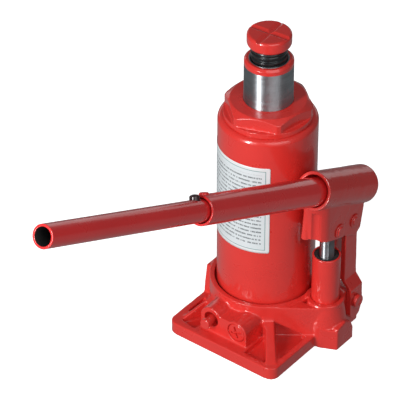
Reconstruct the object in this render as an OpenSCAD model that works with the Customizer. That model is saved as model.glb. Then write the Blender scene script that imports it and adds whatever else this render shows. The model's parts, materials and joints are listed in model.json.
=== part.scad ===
// Hydraulic bottle jack with a two-piece pump handle.
// Frame: origin on the ram axis at floor level, +Z up, +X towards the pump, -Y is the valve side.

/* [Base casting] */
// Distance from the ram axis to the left edge of the base
base_left = 40.3; // [40.3:0.1:44]
// Distance from the ram axis to the right edge of the base
base_right = 53.2; // [50:0.1:56]
// Distance from the ram axis to the front edge of the base
base_front = 62; // [61:0.5:68]
// Distance from the ram axis to the back edge of the base
base_back = 47.5; // [47:0.5:56]
// Thickness of the base plate
plate_h = 9.8; // [9:0.1:11]
// Radius of the hub that carries the tank
hub_r = 40; // [39.5:0.1:40.3]
// Height of the hub
hub_h = 34; // [33:0.5:36]

/* [Tank and ram] */
// Outer radius of the oil tank
tank_r = 35; // [34:0.1:35.2]
// Height of the top of the tank's shoulder
tank_top = 173; // [172:0.5:174]
// Height of the top of the tank nut
nut_top = 186.5; // [184:0.5:190]
// Radius of the ram
ram_r = 17.2; // [16:0.1:17.4]
// Height of the top of the ram as stored, partly raised
ram_top = 219.5; // [195:0.5:250]
// Radius of the extension screw over its thread
screw_r = 12.7; // [11:0.1:12.8]
// Gap between the ram's top and the saddle as stored
screw_out = 10.5; // [10:0.5:30]
// Radius of the saddle
saddle_r = 15.5; // [14:0.1:17]
// Thickness of the saddle
saddle_h = 9.9; // [8:0.1:11]

/* [Pump and linkage] */
// Distance of the pump and handle plane from the ram axis
pump_x = 50; // [49.8:0.1:50.4]
// Offset of the pump axis towards the back
pump_y = 3.8; // [3:0.1:4.5]
// Outer radius of the pump cylinder
pump_r = 10.17; // [9.5:0.01:10.4]
// Height of the top of the pump cylinder
pump_top = 72.5; // [68:0.5:73]
// Radius of the pump piston
piston_r = 5.2; // [4.5:0.1:5.5]
// Height of the piston pin
piston_pin_z = 97.2; // [96.8:0.1:97.6]

/* [Handle] */
// Angle of the handle above the floor
handle_angle = 25.2; // [25:0.1:25.4]
// Height of the handle axis where it crosses the ram's plane
handle_z = 130; // [129.5:0.1:130.5]
// Outer radius of the upper handle tube
upper_tube_r = 10.2; // [10:0.1:10.4]
// Outer radius of the lower handle tube
lower_tube_r = 7.8; // [7.5:0.1:8]
// Distance along the handle to its free end
handle_end = 325; // [300:5:400]
// Wall thickness of the handle tubes
tube_wall = 1.7; // [1.5:0.1:2]

/* [Hidden] */
$fn = 96;
eps = 0.01;
fit_gap = 0.05;         // radial clearance of every running fit
seal_gap = 0.06;        // radial clearance around static rings

red = [0.84, 0.13, 0.11];
steel = [0.62, 0.65, 0.68];
black = [0.08, 0.09, 0.09];
rubber_black = [0.05, 0.05, 0.05];
brassy = [0.72, 0.6, 0.32];

corner_r = 7;           // plan corners of the plate
pocket_z = 6;           // floor of the sunken pockets in the plate
rim_w = 5;              // rim left around the pockets
seat_z = 30;            // floor of the tank's seat in the hub
seat_r = 36.3;
cyl_r = 22.5;           // inner pressure cylinder, outside
cyl_bore = 18.5;        // inner pressure cylinder, inside
cyl_z = 24;             // floor under the pressure cylinder
cyl_top = 166;

front_face = 53;        // face of the valve block, ahead of the ram axis
valve_x = -8.3;
valve_z = 20.5;
valve_recess_r = 5.8;
relief_x = 13.6;
relief_z = 18.8;
plug_r = 7.2;

boss_r = 13.9;          // pump boss
boss_h = 35;
lug_half = 8.4;         // half thickness of the link lug
link_t = 4;             // thickness of a link plate
link_gap = 0.2;         // side clearance of the links
link_w = 17;            // width of a link plate
link_jog = 5.5;         // sideways step from the top of a link to its foot
low_pin_y = 23.4;
low_pin_z = 24.6;
up_pin_y = 23.4;
up_pin_z = 94;
pin_r = 3.6;            // all three linkage pins
open_pivot_r = 6;       // hole of the links round the upper pin
clevis_half = 10.3;     // half width of the clevis, outside
clevis_t = 3;           // thickness of its side plates
clevis_nose_t = 7;      // thickness of its round front
clevis_front_y = -7.8;  // centre of the clevis' round front
clevis_step = 1.2;      // how far the face round the upper pin is set back

socket_r = 13.8;
socket_bore = 11.3;
socket_lift = 0.7;      // socket axis above the handle axis
socket_mouth = 16.6;    // positions below are distances along the handle axis
socket_back = -50.1;
upper_start = -38;
upper_end = 155.5;
lower_start = 116;
button_at = 160.8;
button_r = 3.6;
button_turn = 22;       // turn of the button round the handle, away from straight up

ram_bottom = ram_top - 164.5;
screw_top = ram_top + screw_out;
screw_bottom = ram_top - 69.5;
label_z0 = 78.2;
label_z1 = 151.3;

// ---- helpers ----

// Round bar along X, from x0 to x1
module bar_x(x0, x1, y, z, r) translate([x0, y, z]) rotate([0, 90, 0]) cylinder(h = x1 - x0, r = r);

// Round bar along Y, from y0 to y1
module bar_y(y0, y1, x, z, r) translate([x, y0, z]) rotate([-90, 0, 0]) cylinder(h = y1 - y0, r = r);

// Round bar between two points
module bar_between(p, q, r) {
    d = q - p;
    len = norm(d);
    translate(p) rotate([0, acos(d[2] / len), atan2(d[1], d[0])]) cylinder(h = len, r = r, $fn = 32);
}

// Ring of rectangular section round the Z axis
module ring(r_in, r_out, z0, z1) translate([0, 0, z0]) difference() {
    cylinder(h = z1 - z0, r = r_out);
    translate([0, 0, -1]) cylinder(h = z1 - z0 + 2, r = r_in);
}

// Ring of round section round the Z axis
module torus(r_mid, r_wire, z) translate([0, 0, z])
    rotate_extrude() translate([r_mid, 0]) circle(r = r_wire, $fn = 24);

// Rectangle with round corners
module round_rect(x0, x1, y0, y1, r) {
    translate([x0 + r, y0]) square([x1 - x0 - 2 * r, y1 - y0]);
    translate([x0, y0 + r]) square([x1 - x0, y1 - y0 - 2 * r]);
    for (x = [x0 + r, x1 - r], y = [y0 + r, y1 - r]) translate([x, y]) circle(r = r);
}

// Handle frame: local Z runs along the handle to its free end, local Y is up, local X is +X
module in_handle_frame() translate([pump_x, 0, handle_z]) rotate([90 - handle_angle, 0, 0]) children();

// Side profile given as (y, z) points, from x0 to x1
module side_plate(x0, x1, points) translate([x0, 0, 0]) rotate([90, 0, 90])
    linear_extrude(x1 - x0) polygon(points);

// Compression spring along Z: a round wire swept round a helix
module coil(r, wire_r, h, turns) {
    per_turn = 16;
    sides = 8;
    rings = turns * per_turn;
    pts = [for (i = [0:rings], k = [0:sides - 1])
        let (a = 360 * i / per_turn, b = 360 * k / sides, rr = r + wire_r * cos(b))
        [rr * cos(a), rr * sin(a), wire_r + (h - 2 * wire_r) * i / rings + wire_r * sin(b)]];
    walls = [for (i = [0:rings - 1], k = [0:sides - 1])
        [i * sides + k, (i + 1) * sides + k, (i + 1) * sides + (k + 1) % sides,
         i * sides + (k + 1) % sides]];
    ends = [[for (k = [0:sides - 1]) k], [for (k = [sides - 1:-1:0]) rings * sides + k]];
    polyhedron(pts, concat(walls, ends));
}

// ---- base casting ----

// Sloping rib from the hub down to a corner of the plate
module corner_rib(angle, reach, t = 7) rotate([0, 0, angle]) translate([0, t / 2, 0])
    rotate([90, 0, 0]) linear_extrude(t) polygon([[30, 1], [reach, 1], [reach, plate_h - 1],
        [41, 22], [39, 27], [30, 27]]);

module valve_block() {
    y0 = -front_face;
    len = front_face - 20;
    intersection() {
        union() {
            bar_y(y0, y0 + len, valve_x, valve_z, 9.6);
            bar_y(y0, y0 + len, relief_x, relief_z, 9.2);
            translate([valve_x - 9.6, y0, 0]) cube([9.6 + relief_x - valve_x + 9.2, len, relief_z]);
            translate([valve_x, y0, 0]) cube([relief_x - valve_x - 3, len, 26]);
        }
        translate([valve_x - 10, y0, 0]) cube([45, len, 40]);
    }
}

module base_outside() {
    linear_extrude(plate_h)
        round_rect(-base_left, base_right, -base_front, base_back, corner_r);
    cylinder(h = hub_h, r = hub_r);
    corner_rib(atan2(-56, -33), 64);
    corner_rib(atan2(-56, 47), 77, 8);
    corner_rib(atan2(41, -33), 51);
    corner_rib(atan2(42, 47), 60);
    valve_block();
    // side wall of the hub, flush with the left edge of the plate
    side_plate(-base_left, -24, [[-21, 0], [19, 0], [17, 28], [14, 32.6], [-17, 32.6], [-19, 20]]);
    // pump boss, the web that joins it to the hub, its foot and the link lug
    translate([pump_x, pump_y, 0]) cylinder(h = boss_h, r = boss_r);
    linear_extrude(boss_h - 1.5) polygon([[20, -22], [23.3, -32.5], [58.1, -7.5], [52, 12],
        [36, 16], [20, 20]]);
    linear_extrude(17) polygon([[50, -12.5], [57, -11.4], [68.4, -5.9], [68.4, 8], [50, 12.4]]);
    side_plate(56, 68.4, [[-5.9, 0], [-5.9, 18.3], [3.8, 20.3], [10, 17.1], [13.4, 9.9], [13.4, 0]]);
    // the boss flares out into the foot
    intersection() {
        translate([pump_x, pump_y, 16]) cylinder(h = 16, r1 = 16.8, r2 = boss_r);
        linear_extrude(40) polygon([[50, -12.5], [57, -11.4], [68.4, -5.9], [68.4, 8], [50, 12.4]]);
    }
    side_plate(pump_x - lug_half, pump_x + lug_half, [[10, 0], [32.4, 0], [32.4, 20],
        [31.5, 28], [27.5, 32.5], [21, 33.5], [10, 33]]);
}

module plate_pocket(points) translate([0, 0, pocket_z]) linear_extrude(14) polygon(points);

module base_pockets() {
    // either side of the valve block
    plate_pocket([[-33, -base_front + rim_w + 2], [-19.5, -base_front + rim_w], [-19.5, -38],
        [-24, -38.5]]);
    plate_pocket([[24.4, -base_front + rim_w], [43, -base_front + rim_w], [27, -36.5], [24.4, -35]]);
    // between the right rib and the pump boss, running in under the web
    plate_pocket([[30, -28.5], [46, -47.5], [base_right - rim_w, -46.5],
        [base_right - rim_w, -17.2], [46, -16.2]]);
    translate([23.3, -32.5, 0]) rotate([0, 0, 35.7]) translate([0, 4, 0]) rotate([90, 0, 0])
        linear_extrude(10) polygon([[8.2, pocket_z], [27, pocket_z], [27, 10], [8.2, 19.5]]);
    // dip between the hub and the boss
    translate([0, 0, 30]) linear_extrude(8) polygon([[40.2, -10], [44, -10.8], [41.2, -3.6]]);
    // along the back and at the left of the hub
    plate_pocket([[-24, base_back - rim_w], [34, base_back - rim_w], [22, 37], [0, 41],
        [-19, 38]]);
    plate_pocket([[-base_left + rim_w, -50], [-31, -29], [-base_left + rim_w, -25]]);
    plate_pocket([[-base_left + rim_w, 38], [-31, 29], [-base_left + rim_w, 24]]);
}

module base_bores() {
    // seats of the tank and of the pressure cylinder
    translate([0, 0, seat_z]) cylinder(h = 20, r = seat_r);
    translate([0, 0, cyl_z]) cylinder(h = 20, r = cyl_r + seal_gap);
    // pump cylinder
    translate([pump_x, pump_y, 10]) cylinder(h = 40, r = pump_r + fit_gap);
    // suction valve and its passage from the tank
    translate([pump_x, pump_y, 4]) cylinder(h = 7, r = 3.6);
    bar_between([21, 20, 31], [pump_x, pump_y, 3.4], 1.5);
    // discharge valve and its passage from the pump
    translate([8, pump_y, 14]) cylinder(h = 11, r = 3.6);
    translate([8, pump_y, 12]) cylinder(h = 3, r = 1.8);
    bar_x(8, pump_x - 2, pump_y, 11.6, 1.8);
    // release valve: recess, thread, seat and passages
    bar_y(-front_face - 1, -46, valve_x, valve_z, valve_recess_r);
    bar_y(-46 - eps, -30, valve_x, valve_z, 5 + fit_gap);
    bar_y(-30 - eps, -21, valve_x, valve_z, 3.3);
    bar_y(-21 - eps, -8, valve_x, valve_z, 1.6);
    bar_between([valve_x, -9.4, valve_z - 1], [valve_x, -9.4, cyl_z + 1], 1.6);
    bar_between([valve_x, -26.5, valve_z], [valve_x, -26.5, seat_z + 1], 1.6);
    // relief valve: plug seat, bore, seat and passages
    bar_y(-front_face - 1, -47, relief_x, relief_z, plug_r + fit_gap);
    bar_y(-47 - eps, -25, relief_x, relief_z, 3.6);
    bar_y(-25 - eps, -9, relief_x, relief_z, 1.2);
    bar_between([relief_x, -10, relief_z - 1], [relief_x, -10, cyl_z + 1], 1.2);
    bar_between([relief_x, -28.5, relief_z], [relief_x, -28.5, seat_z + 1], 1.2);
    // lower link pin, pressed into its lug
    bar_x(pump_x - lug_half - 2, pump_x + lug_half + 2, low_pin_y, low_pin_z, pin_r);
}

// Room for the feet of the links beside the lug and the boss
module link_room() for (s = [-1, 1])
    translate([s > 0 ? pump_x + lug_half : pump_x - lug_half - 4.7, 15.4, s > 0 ? -1 : 5])
        cube([s > 0 ? 8 : 4.7, 20, 50]);

module base_casting() color(red) difference() {
    base_outside();
    base_pockets();
    base_bores();
    link_room();
}

// ---- tank, pressure cylinder and nut ----

module reservoir_tank() color(red) difference() {
    wall = 2.5;
    shoulder = 6;
    rotate_extrude() difference() {
        union() {
            translate([0, 31.2]) square([tank_r, tank_top - shoulder - 31.2]);
            translate([0, 31.2]) square([tank_r - shoulder, tank_top - 31.2]);
            translate([tank_r - shoulder, tank_top - shoulder]) circle(r = shoulder);
        }
        translate([-1, 30]) square([tank_r - wall + 1, tank_top - shoulder - 30]);
        translate([-1, 30]) square([27 + 1, tank_top]);
    }
    rotate([0, 0, 118]) bar_x(20, 45, 0, 142, 4.6);
}

module inner_cylinder() color(steel) ring(cyl_bore, cyl_r, cyl_z + 1, cyl_top);

module tank_gasket() color(rubber_black) ring(tank_r - 3, tank_r, seat_z, 31.2);

module cylinder_gasket() color(rubber_black) ring(cyl_bore + 0.6, cyl_r - 0.4, cyl_z, cyl_z + 1);

module tank_nut() color(red) {
    hex_r = 32;
    hex_z = 177;
    difference() {
        union() {
            ring(ram_r + fit_gap, 26.9, cyl_top - 6, tank_top);
            ring(ram_r + fit_gap, 31.4, tank_top, hex_z);
            intersection() {
                rotate([0, 0, 20]) translate([0, 0, hex_z - eps])
                    cylinder(h = nut_top - hex_z + eps, r = hex_r, $fn = 6);
                translate([0, 0, hex_z - 1]) cylinder(h = nut_top - hex_z + 1, r = 31.2);
                translate([0, 0, nut_top - 30]) rotate_extrude()
                    polygon([[0, 0], [38, 0], [38, 22], [26.5, 30], [0, 30]]);
            }
        }
        // bore for the ram, groove of the wiper, seat of the pressure cylinder, o-ring groove
        translate([0, 0, 100]) cylinder(h = 100, r = ram_r + fit_gap);
        ring(ram_r - 1, 20, 179, 182.6);
        translate([0, 0, 100]) cylinder(h = cyl_top - 100, r = cyl_r + seal_gap);
        ring(25, 28, 167, 170);
    }
}

module nut_wiper() color(rubber_black) ring(ram_r + 0.02, 19.95, 179.1, 182.5);

module tank_top_oring() color(rubber_black) torus(25.96, 0.94, 168.5);

module label() color("white") difference() {
    ring(tank_r + 0.05, tank_r + 0.25, label_z0, label_z1);
    rotate([0, 0, -50]) translate([0, 0, 70]) cube([50, 50, 90]);
    rotate([0, 0, 40]) translate([0, 0, 70]) cube([50, 50, 90]);
    rotate([0, 0, 95]) translate([0, 0, 70]) cube([50, 50, 90]);
}

module filler_plug() color(rubber_black) rotate([0, 0, 118]) {
    bar_x(31.5, 35.6, 0, 142, 4.55);
    bar_x(35.4, 37.4, 0, 142, 6.5);
    bar_x(30.4, 32, 0, 142, 5.4);
}

// ---- ram ----

module ram() color(steel) difference() {
    rotate_extrude() polygon([[0, ram_bottom], [ram_r, ram_bottom], [ram_r, ram_top - 1],
        [ram_r - 1, ram_top], [0, ram_top]]);
    translate([0, 0, ram_top - 86]) cylinder(h = 100, r = 13.1);
    // grooves of the cup seal, the backup ring and the stop ring
    ring(13.5, 20, ram_bottom + 3, ram_bottom + 8.4);
    ring(15.6, 20, ram_bottom + 10, ram_bottom + 12);
}

module ram_cup_seal() color(rubber_black)
    ring(13.55, cyl_bore - fit_gap, ram_bottom + 3.05, ram_bottom + 6.6);

module ram_backup_ring() color([0.9, 0.9, 0.85])
    ring(13.55, cyl_bore - fit_gap, ram_bottom + 6.65, ram_bottom + 8.35);

module ram_stop_ring() color(steel)
    ring(15.65, cyl_bore - 0.15, ram_bottom + 10.05, ram_bottom + 11.95);

module extension_screw() color(black) difference() {
    rotate_extrude() polygon([[0, screw_bottom], [screw_r - 1.2, screw_bottom],
        [screw_r, screw_bottom + 1.2], [screw_r, screw_top - 7.5], [screw_r - 0.9, screw_top - 6.8],
        [screw_r - 0.9, screw_top - 5.8], [screw_r + 0.1, screw_top - 5], [screw_r + 0.1, screw_top - 1.4],
        [screw_r - 1, screw_top - 0.6], [screw_r - 1, screw_top], [7, screw_top],
        [7, screw_top + 4.5], [0, screw_top + 4.5]]);
    ring(screw_r - 1.4, 16, screw_bottom + 3, screw_bottom + 5);
}

module extension_stop_ring() color(steel)
    ring(screw_r - 1.35, 13.05, screw_bottom + 3.05, screw_bottom + 4.95);

module saddle() color(red) difference() {
    top = screw_top + saddle_h;
    rotate_extrude() {
        translate([0, screw_top]) square([saddle_r - 3, saddle_h]);
        translate([0, screw_top + 3]) square([saddle_r, saddle_h - 5]);
        translate([0, screw_top + 3]) square([saddle_r - 2, saddle_h - 3]);
        translate([saddle_r - 3, screw_top + 3]) circle(r = 3);
        translate([saddle_r - 2, top - 2]) circle(r = 2);
    }
    translate([0, 0, screw_top - 1]) cylinder(h = 5.6, r = 7.02);
    // crossed grooves
    for (a = [5, 95]) rotate([0, 0, a]) translate([0, 0, top])
        side_plate(-25, 25, [[-2.7, 0.1], [0, -1.4], [2.7, 0.1]]);
}

// ---- pump ----

module at_pump() translate([pump_x, pump_y, 0]) children();

module pump_cylinder() color(red) at_pump() rotate_extrude() polygon([[1.8, 11], [pump_r, 11],
    [pump_r, pump_top - 0.8], [pump_r - 0.8, pump_top], [8.8, pump_top], [8.8, pump_top - 4],
    [6, pump_top - 4], [6, 15], [1.8, 15]]);

module pump_gasket() color(rubber_black) at_pump() ring(4, pump_r - 0.2, 10, 11);

module pump_wiper() color(rubber_black) at_pump()
    ring(piston_r + 0.04, 8.75, pump_top - 4, pump_top - 0.6);

module pump_piston() color(steel) difference() {
    at_pump() rotate_extrude() polygon([[0, 38], [5.9, 38], [5.9, 45], [piston_r, 46],
        [piston_r, 102.3], [piston_r - 1.2, 103.5], [0, 103.5]]);
    at_pump() ring(4.6, 8, 40.2, 42.6);
    bar_x(pump_x - 8, pump_x + 8, pump_y, piston_pin_z, pin_r - 0.4 + fit_gap);
}

module piston_oring() color(rubber_black) at_pump() ring(4.65, 5.93, 40.25, 42.55);

// ---- handle socket, its pins and the links ----

clevis_profile = [[-19, 98.4], [-8, 94.7], [0, 91.6], [9.5, 88.5], [25.5, 79.8], [31, 83.5],
    [34.3, 98], [36, 112.5], [-19, 138]];

// Plan of the clevis, open at the back, with a round front
module clevis_plan(half) {
    translate([pump_x, clevis_front_y]) circle(r = half);
    translate([pump_x - half, clevis_front_y]) square([2 * half, 60]);
}

module handle_socket() color(red) difference() {
    union() {
        in_handle_frame() translate([0, socket_lift, socket_back]) rotate_extrude()
            polygon([[0, 0], [socket_r - 2.4, 0], [socket_r - 0.7, 0.9], [socket_r, 2.6],
                [socket_r, socket_mouth - socket_back], [0, socket_mouth - socket_back]]);
        difference() {
            intersection() {
                side_plate(pump_x - 12, pump_x + 12, clevis_profile);
                translate([0, 0, 60]) linear_extrude(90) clevis_plan(clevis_half);
            }
            // hollow down the nose, and the set-back face round the upper pin
            translate([pump_x + 5.2, -18.3, 90]) cylinder(h = 31, r = 3.7);
            side_plate(pump_x + clevis_half - clevis_step, pump_x + 20, [[9.5, 70], [9.5, 89],
                [10.4, 96], [10.4, 102.6], [15.1, 108], [24, 130], [45, 130], [45, 70]]);
        }
        // rolled edge beside the hollow
        translate([46.3, -17.4, 97]) rotate([-6.6, 0, 0]) cylinder(h = 27, r = 3);
    }
    in_handle_frame() translate([0, socket_lift, upper_start - 1]) cylinder(h = 80, r = socket_bore);
    // slot for the piston and the links, below the socket's tube
    difference() {
        translate([0, clevis_nose_t - clevis_t, 60]) linear_extrude(90)
            clevis_plan(clevis_half - clevis_t);
        in_handle_frame() translate([0, socket_lift, -90]) cylinder(h = 180, r = socket_r);
        in_handle_frame() translate([-30, socket_lift - 6, -90]) cube([60, 60, 180]);
    }
    bar_x(pump_x - 20, pump_x + 20, pump_y, piston_pin_z, pin_r - 0.4 + fit_gap);
    bar_x(pump_x - 20, pump_x + 20, up_pin_y, up_pin_z, pin_r + fit_gap);
}

// Pin across the clevis: a domed head on the outer side, a ring groove on the inner side
module clevis_pin(y, z, r, head_r, x1) {
    bar_x(pump_x - clevis_half - 2.6, x1 + 0.5, y, z, r);
    bar_x(x1 + eps, x1 + 1, y, z, head_r);
    bar_x(x1 + 1 - eps, x1 + 1.8, y, z, head_r - 1.6);
}

module piston_pin() color(red) clevis_pin(pump_y, piston_pin_z, pin_r - 0.4, 5.3,
    pump_x + clevis_half);

module link_upper_pin() color(red) clevis_pin(up_pin_y, up_pin_z, pin_r, 5.1,
    pump_x + clevis_half - clevis_step);

module retaining_ring(x, y, z, r) difference() {
    bar_x(x, x + 1, y, z, r + 1.7);
    bar_x(x - 1, x + 2, y, z, r + 0.02);
}

module socket_pin_rings() color(steel) {
    retaining_ring(pump_x - clevis_half - 1.6, pump_y, piston_pin_z, pin_r - 0.4);
    retaining_ring(pump_x - clevis_half - 1.6, up_pin_y, up_pin_z, pin_r);
}

module link_lower_pin() color(red) {
    reach = lug_half + link_gap + link_t;
    bar_x(pump_x - reach - 2.4, pump_x + reach + 3.3, low_pin_y, low_pin_z, pin_r);
    bar_x(pump_x + reach + 0.3, pump_x + reach + 3.3, low_pin_y, low_pin_z, pin_r + 1.4);
}

module link_pin_ring() color(steel)
    retaining_ring(pump_x - lug_half - link_gap - link_t - 1.5, low_pin_y, low_pin_z, pin_r);

// Link plate of the outer side: straight at the top, stepped outwards to its foot
module link_plate() {
    x0 = lug_half + link_gap;
    x1 = x0 + link_t;
    step_z0 = 36;
    step_z1 = 43;
    top_z = up_pin_z + 8.4;
    difference() {
        intersection() {
            // section seen from the front, stepped
            translate([pump_x, 60, 0]) rotate([90, 0, 0]) linear_extrude(80) polygon([
                [x0, 0], [x1, 0], [x1, step_z0], [x1 - link_jog, step_z1], [x1 - link_jog, 110],
                [x0 - link_jog, 110], [x0 - link_jog, step_z1], [x0, step_z0]]);
            // outline seen from the side
            union() {
                side_plate(pump_x, pump_x + 20, [[17.3, 14], [19, 10.4], [22, 9.2], [26, 9.4],
                    [28.6, 11.2], [30.2, 14.6], [31.2, 19], [31.4, 24], [31, 34], [31, 44], [30.3, 75],
                    [30.9, 84], [31.6, up_pin_z], [15.2, up_pin_z], [15.8, 90], [16.6, 83], [16.6, 44],
                    [17.3, 36]]);
                bar_x(pump_x, pump_x + 20, up_pin_y, up_pin_z, 8.2);
            }
        }
        bar_x(pump_x - 1, pump_x + 30, low_pin_y, low_pin_z, pin_r + fit_gap);
        bar_x(pump_x - 1, pump_x + 30, up_pin_y, up_pin_z, open_pivot_r);
    }
}

module outer_link() color(red) link_plate();

module inner_link() color(red) translate([2 * pump_x, 0, 0]) mirror([1, 0, 0]) link_plate();

// ---- handle ----

module handle_upper() color(red) in_handle_frame() difference() {
    union() {
        translate([0, 0, upper_start]) cylinder(h = upper_end - upper_start, r = upper_tube_r);
        // lug pressed out of the tube in line with the button
        rotate([0, 0, button_turn]) translate([0, 0, upper_end - 5.5]) rotate([-90, 0, 0])
            cylinder(h = upper_tube_r + 1.8, r = 3.4);
    }
    translate([0, 0, upper_start - 1]) cylinder(h = 300, r = upper_tube_r - tube_wall);
    // notch in the inner end that turns the release valve, and the hole behind the lug
    translate([-20, -4.6, upper_start - 1]) cube([40, 9.2, 11]);
    rotate([0, 0, button_turn]) translate([0, 0, upper_end - 11.6]) rotate([-90, 0, 0])
        cylinder(h = 20, r = 1.9);
}

// Local Z out through the button, in the handle frame
module at_button() rotate([0, 0, button_turn]) translate([0, 0, button_at]) rotate([-90, 0, 0])
    children();

module handle_lower() color(red) in_handle_frame() difference() {
    translate([0, 0, lower_start]) cylinder(h = handle_end - lower_start, r = lower_tube_r);
    translate([0, 0, lower_start - 1]) cylinder(h = 400, r = lower_tube_r - tube_wall);
    at_button() cylinder(h = 20, r = button_r + 0.35);
}

module handle_button() color(black) in_handle_frame() at_button() {
    translate([0, 0, 5]) cylinder(h = 5.5, r = button_r);
    intersection() {
        translate([0, 0, 10.4]) cylinder(h = 3, r = button_r);
        translate([0, 0, 7]) sphere(r = 5);
    }
}

// Bent spring strip inside the tube that pushes the button out
module button_spring() color(steel) in_handle_frame() rotate([0, 0, button_turn])
    translate([2.5, 0, button_at]) rotate([0, -90, 0]) linear_extrude(5) polygon([[6, 2.9],
        [-10, 2.9], [-19, -4.9], [-2, -4.9], [-2, -4.3], [-17.6, -4.3], [-9.8, 2.3], [6, 2.3]]);

// ---- valves ----

module release_valve() color(red) translate([valve_x, 0, valve_z]) rotate([90, 0, 0])
    rotate_extrude() polygon([[0, 24.4], [2.2, 24.4], [2.8, 30.2], [5, 31], [5, 41.8], [3.9, 41.8],
        [3.9, 43.6], [5, 43.6], [5, 45.6], [3.2, 46.4], [3.2, 57.4], [4, 57.8], [4, 60], [3.4, 60.6],
        [0, 60.6]]);

module release_oring() color(rubber_black) translate([valve_x, 0, valve_z]) rotate([90, 0, 0])
    ring(3.95, 4.98, 41.9, 43.5);

module release_ball() color(steel) translate([valve_x, -22.3, valve_z]) sphere(r = 2.0);

module relief_plug() color(red) translate([relief_x, 0, relief_z]) rotate([90, 0, 0]) difference() {
    rotate_extrude() polygon([[0, 47.05], [plug_r, 47.05], [plug_r, 51.6], [plug_r - 0.8, 52.4],
        [0, 52.8]]);
    for (a = [20, 110]) rotate([0, 0, a]) translate([0, 0, 53]) cube([9.6, 1.7, 4], center = true);
}

module relief_screw() color(steel) translate([relief_x, 0, relief_z]) rotate([90, 0, 0])
    difference() {
        translate([0, 0, 36]) cylinder(h = 6, r = 3.55);
        translate([0, 0, 41.5]) cube([8, 1, 2.4], center = true);
    }

module relief_spring() color(steel) translate([relief_x, -35.9, relief_z]) rotate([-90, 0, 0])
    coil(2.6, 0.45, 7.2, 5);

module relief_ball() color(steel) translate([relief_x, -26.7, relief_z]) sphere(r = 1.65);

module suction_ball() color(steel) translate([pump_x, pump_y, 6.6]) sphere(r = 2.4);

module suction_cage() color(brassy) at_pump() ring(1.6, 3.55, 9.05, 9.95);

module discharge_ball() color(steel) translate([8, pump_y, 16.5]) sphere(r = 2.6);

module discharge_spring() color(steel) translate([8, pump_y, 19.2]) coil(2.5, 0.3, 2.4, 2);

module discharge_screw() color(steel) translate([8, pump_y, 0]) ring(1.4, 3.55, 21.65, 23.8);

base_casting();
reservoir_tank();
inner_cylinder();
tank_nut();
nut_wiper();
tank_top_oring();
tank_gasket();
cylinder_gasket();
ram();
ram_cup_seal();
ram_backup_ring();
ram_stop_ring();
extension_screw();
extension_stop_ring();
saddle();
pump_cylinder();
pump_gasket();
pump_wiper();
pump_piston();
piston_oring();
handle_socket();
piston_pin();
link_upper_pin();
socket_pin_rings();
link_lower_pin();
link_pin_ring();
outer_link();
inner_link();
handle_upper();
handle_lower();
handle_button();
button_spring();
release_valve();
release_oring();
release_ball();
relief_plug();
relief_screw();
relief_spring();
relief_ball();
suction_ball();
suction_cage();
discharge_ball();
discharge_spring();
discharge_screw();
filler_plug();
label();
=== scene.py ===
import json
import math

import bmesh
import bpy
import numpy as np
from mathutils import Matrix, Vector, noise


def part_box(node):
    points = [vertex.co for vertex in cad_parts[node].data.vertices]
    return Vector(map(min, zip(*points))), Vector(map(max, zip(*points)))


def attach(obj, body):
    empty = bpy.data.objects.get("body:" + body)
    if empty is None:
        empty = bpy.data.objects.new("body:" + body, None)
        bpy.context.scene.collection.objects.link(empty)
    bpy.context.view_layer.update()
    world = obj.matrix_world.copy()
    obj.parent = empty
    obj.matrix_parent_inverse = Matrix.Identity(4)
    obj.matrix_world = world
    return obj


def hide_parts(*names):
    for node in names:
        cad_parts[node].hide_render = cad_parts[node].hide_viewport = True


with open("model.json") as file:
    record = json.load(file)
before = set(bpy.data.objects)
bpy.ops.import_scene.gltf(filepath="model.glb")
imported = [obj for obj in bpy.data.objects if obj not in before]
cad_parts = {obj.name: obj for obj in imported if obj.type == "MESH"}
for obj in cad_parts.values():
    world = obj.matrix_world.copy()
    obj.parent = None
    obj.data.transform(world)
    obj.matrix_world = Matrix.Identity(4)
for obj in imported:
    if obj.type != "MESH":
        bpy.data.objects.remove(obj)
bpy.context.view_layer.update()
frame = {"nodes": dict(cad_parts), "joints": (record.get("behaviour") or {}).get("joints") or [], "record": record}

MM = 0.001
TAU = 2 * math.pi


# ---------------------------------------------------------------- camera, light, floor

CAMERA_AZIMUTH = 37.84      # degrees round the ram from the valve side
CAMERA_ELEVATION = 36.89    # degrees above the floor
CAMERA_DISTANCE = 2.1046    # metres
CAMERA_TARGET = Vector((-0.0370, -0.0287, 0.0984))
CAMERA_LENS = 270           # millimetres
SENSOR_WIDTH = 36           # millimetres

# name, azimuth and elevation in degrees, distance, width and height in metres, power in watts
LIGHTS = (
    ("key", -5, 20, 1.5, 0.22, 1.1, 20.5),
    ("side", 60, 47, 1.5, 1.1, 0.9, 5.0),
    ("fill", 62, 20, 1.5, 1.3, 0.9, 2.0),
    ("floor_bounce", 0, -90, 0.5, 3.0, 3.0, 3.0),
    ("rim", 218, 10, 1.5, 2.4, 0.5, 2.5),
)
LIGHTS_AIM = Vector((0, 0, 0.1))
WORLD_COLOUR, WORLD_STRENGTH = (0.92, 0.97, 1.0, 1), 0.12
FLOOR_GLOW, BACKDROP_GLOW = 0.85, 1.0
STAGE_SIZE, STAGE_HEIGHT = 6.0, 5.0         # half width and height of the room, in metres


def direction(azimuth, elevation):
    """Unit vector from the origin, azimuth counted from the valve side towards the pump's."""
    a, e = math.radians(azimuth), math.radians(elevation)
    return Vector((math.sin(a) * math.cos(e), -math.cos(a) * math.cos(e), math.sin(e)))


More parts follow.
